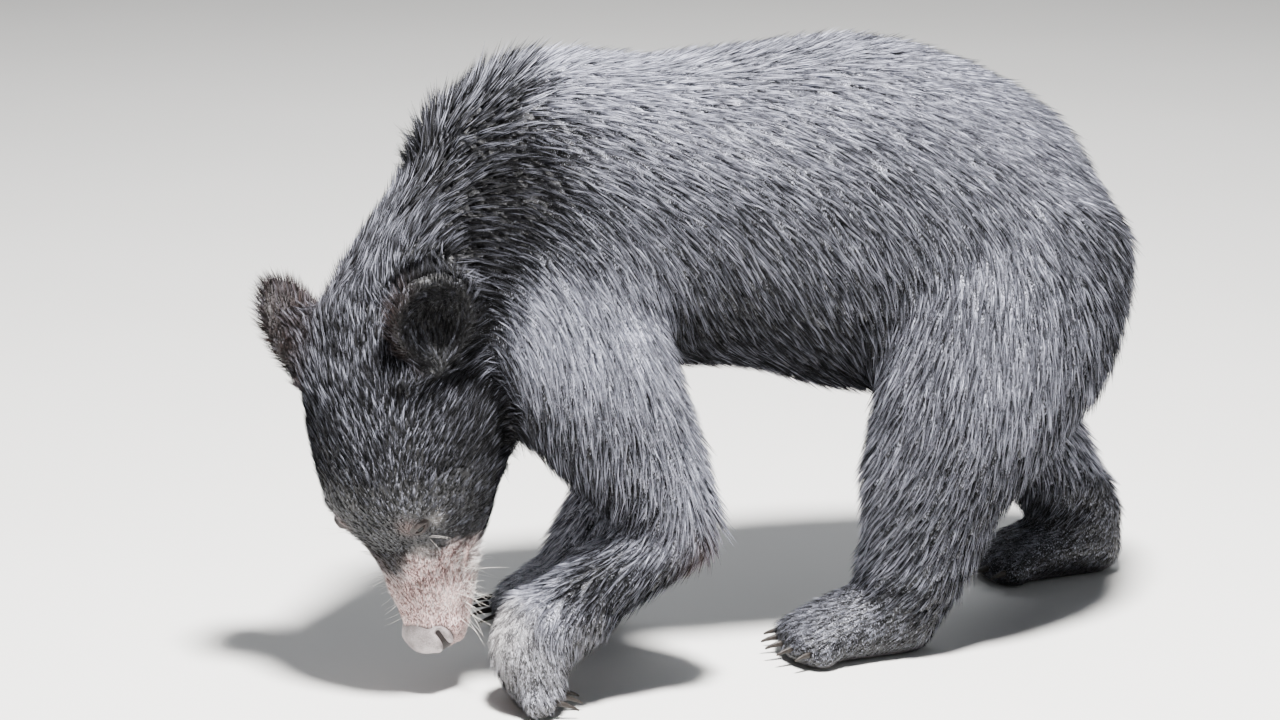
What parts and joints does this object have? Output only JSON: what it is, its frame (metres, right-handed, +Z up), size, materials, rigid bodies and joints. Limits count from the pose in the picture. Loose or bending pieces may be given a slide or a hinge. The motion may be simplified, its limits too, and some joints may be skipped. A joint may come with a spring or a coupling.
{
  "type": "asiatic black bear",
  "caption": "Life-size Asiatic black bear on all fours, head lowered to sniff the ground, near forepaw curled, with big round ears and a pale muzzle.",
  "frame": {"origin": "middle of the box's base, on the floor under the belly", "axes": "+X towards the rump and -X towards the head, +Y towards the bear's right side, +Z up"},
  "size_m": [0.9424, 0.3824, 0.6045],
  "materials": {
    "black_coat": "glossy black fur",
    "pale_muzzle": "short pale hair",
    "eye": "wet",
    "nose_pad": "damp pebbled skin",
    "claw_horn": "dark horn"
  },
  "bodies": {
    "root": {"front_left_claw_1": "claw_horn", "front_left_claw_2": "claw_horn", "front_left_claw_3": "claw_horn", "front_left_claw_4": "claw_horn", "front_left_claw_5": "claw_horn", "front_left_forearm": "black_coat", "front_left_paw": "black_coat", "front_left_upper_leg": "black_coat", "front_right_claw_1": "claw_horn", "front_right_claw_2": "claw_horn", "front_right_claw_3": "claw_horn", "front_right_claw_4": "claw_horn", "front_right_claw_5": "claw_horn", "front_right_forearm": "black_coat", "front_right_paw": "black_coat", "front_right_upper_leg": "black_coat", "head": "black_coat", "hind_left_claw_1": "claw_horn", "hind_left_claw_2": "claw_horn", "hind_left_claw_3": "claw_horn", "hind_left_claw_4": "claw_horn", "hind_left_claw_5": "claw_horn", "hind_left_paw": "black_coat", "hind_left_shank": "black_coat", "hind_left_thigh": "black_coat", "hind_right_claw_1": "claw_horn", "hind_right_claw_2": "claw_horn", "hind_right_claw_3": "claw_horn", "hind_right_claw_4": "claw_horn", "hind_right_claw_5": "claw_horn", "hind_right_paw": "black_coat", "hind_right_shank": "black_coat", "hind_right_thigh": "black_coat", "left_ear": "black_coat", "left_eye": "eye", "lower_jaw": "pale_muzzle", "neck": "black_coat", "nose_pad": "nose_pad", "right_ear": "black_coat", "right_eye": "eye", "tail": "black_coat", "trunk": "black_coat"}
  },
  "joints": []
}
